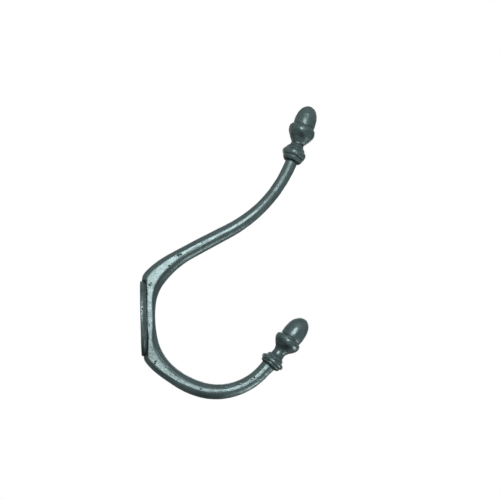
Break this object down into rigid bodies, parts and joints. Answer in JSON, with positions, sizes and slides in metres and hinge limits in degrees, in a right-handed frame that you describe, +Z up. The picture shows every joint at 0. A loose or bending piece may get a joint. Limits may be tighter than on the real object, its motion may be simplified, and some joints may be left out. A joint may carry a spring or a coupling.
{
  "type": "acorn hook",
  "caption": "Cast-iron wall hook: an oval back plate, a long rising arm and a rounded lower hook, each arm ending in a turned collar and an acorn.",
  "frame": {"origin": "middle of the back plate's rear face, midway between the two screw holes, on the wall", "axes": "+X straight out from the wall, +Z up the wall as the hook hangs, Y along the wall, with the casting symmetric about the plane Y = 0"},
  "size_m": [0.1101, 0.032, 0.1768],
  "materials": {
    "iron": "satin waxed or lacquered dark grey-green cast iron with a fine cast grain"
  },
  "bodies": {
    "root": {"hook": "iron"}
  },
  "joints": []
}
